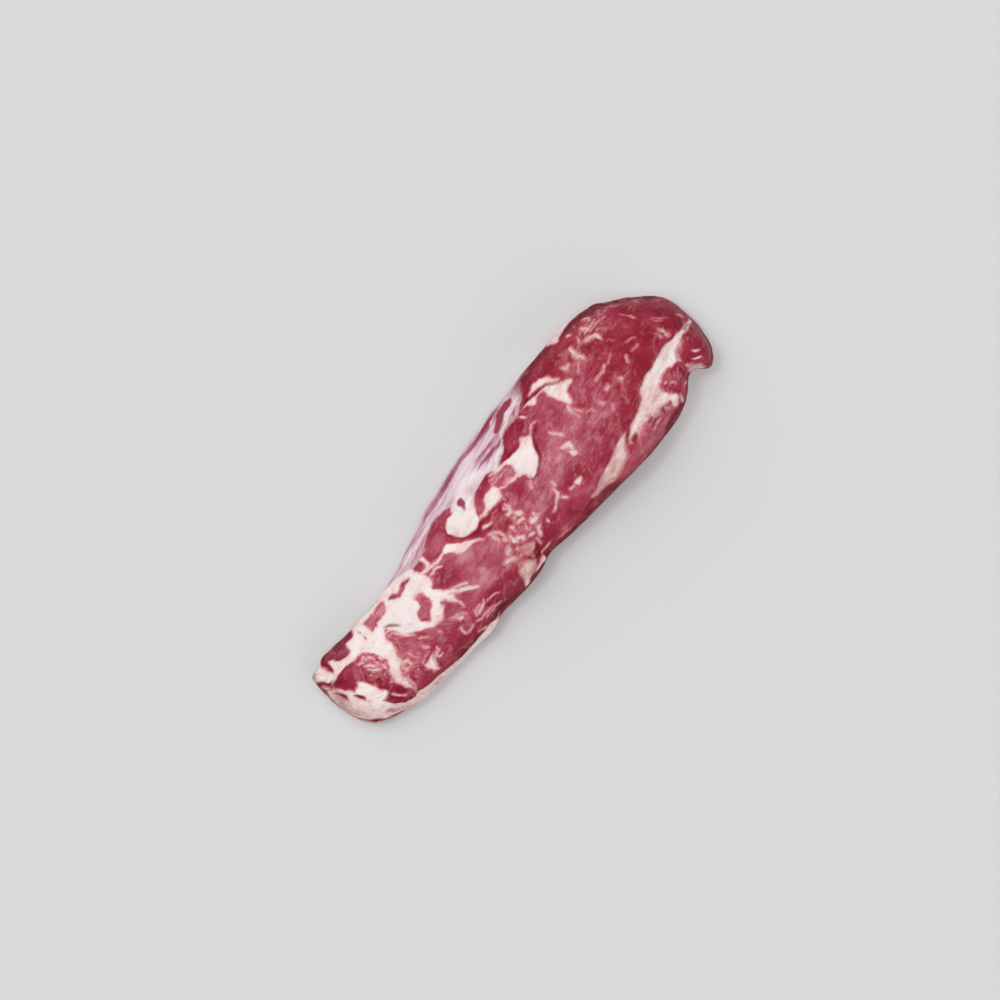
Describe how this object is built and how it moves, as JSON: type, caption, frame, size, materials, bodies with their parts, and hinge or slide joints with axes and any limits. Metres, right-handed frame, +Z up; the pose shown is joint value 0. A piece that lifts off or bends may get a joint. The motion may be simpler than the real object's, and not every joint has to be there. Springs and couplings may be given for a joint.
{
  "type": "filet mignon, whole raw tenderloin",
  "caption": "Long raw meat muscle, thick rounded head tapering to a cut tail, with fat patches, silverskin along one side and a loose strap end, lying on its flat underside.",
  "frame": {"origin": "centre of the bounding box's bottom face, on the surface that the piece lies on", "axes": "+X along the muscle towards its thick head end, +Y across it towards the side under the silverskin, +Z up"},
  "size_m": [0.2482, 0.0712, 0.04],
  "materials": {
    "raw_meat": "moist satin raw meat, deep rose red with cream fat patches and translucent lilac-white silverskin"
  },
  "bodies": {
    "root": {"tenderloin": "raw_meat"}
  },
  "joints": []
}
